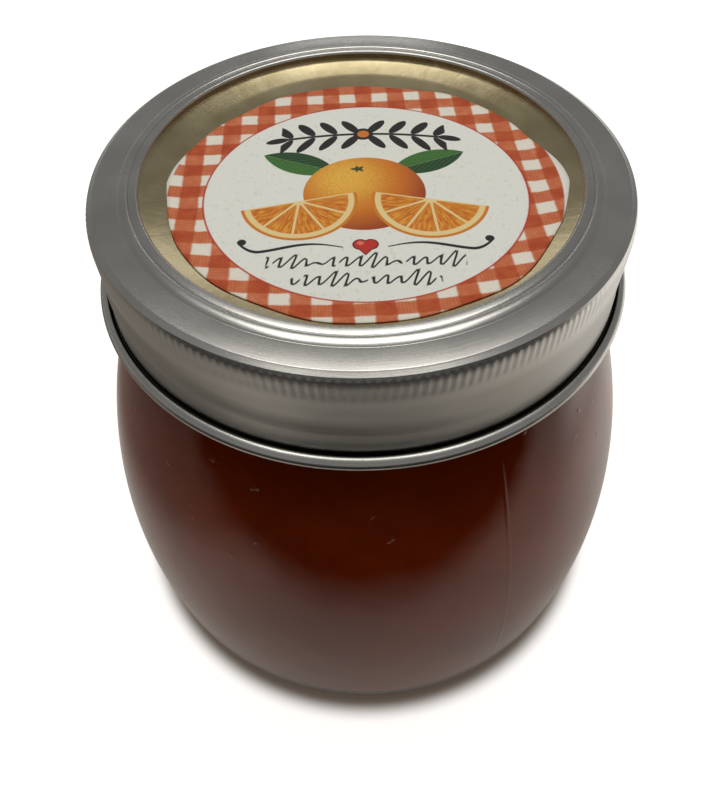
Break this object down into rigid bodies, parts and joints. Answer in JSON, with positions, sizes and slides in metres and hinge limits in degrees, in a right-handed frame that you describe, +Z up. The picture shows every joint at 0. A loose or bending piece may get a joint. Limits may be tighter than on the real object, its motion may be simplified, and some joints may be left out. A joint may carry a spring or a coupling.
{
  "type": "jelly jar",
  "caption": "Squat glass jar filled with dark jelly, closed by a dished gold lid under a silver screw band, with a round paper label on the lid.",
  "frame": {"origin": "middle of the base ring, on the surface that the jar stands on", "axes": "+Z up along the jar's own axis; -Y towards the side from which the label's picture reads upright, +X to the right from there"},
  "size_m": [0.088, 0.088, 0.0828],
  "materials": {
    "glass": "clear pressed glass, glossy",
    "jelly": "dark red-brown set fruit jelly, wet against the glass",
    "gold_lacquer": "gold lacquer on tinned steel, satin gloss",
    "tinplate": "silver lacquered tinplate, soft gloss, knurled grip",
    "label_paper": "printed paper, matt: gingham ring in brown-orange round a fruit picture"
  },
  "bodies": {
    "root": {"jar": "glass", "jelly": "jelly", "lid": "gold_lacquer", "band": "tinplate", "label": "label_paper"}
  },
  "joints": []
}
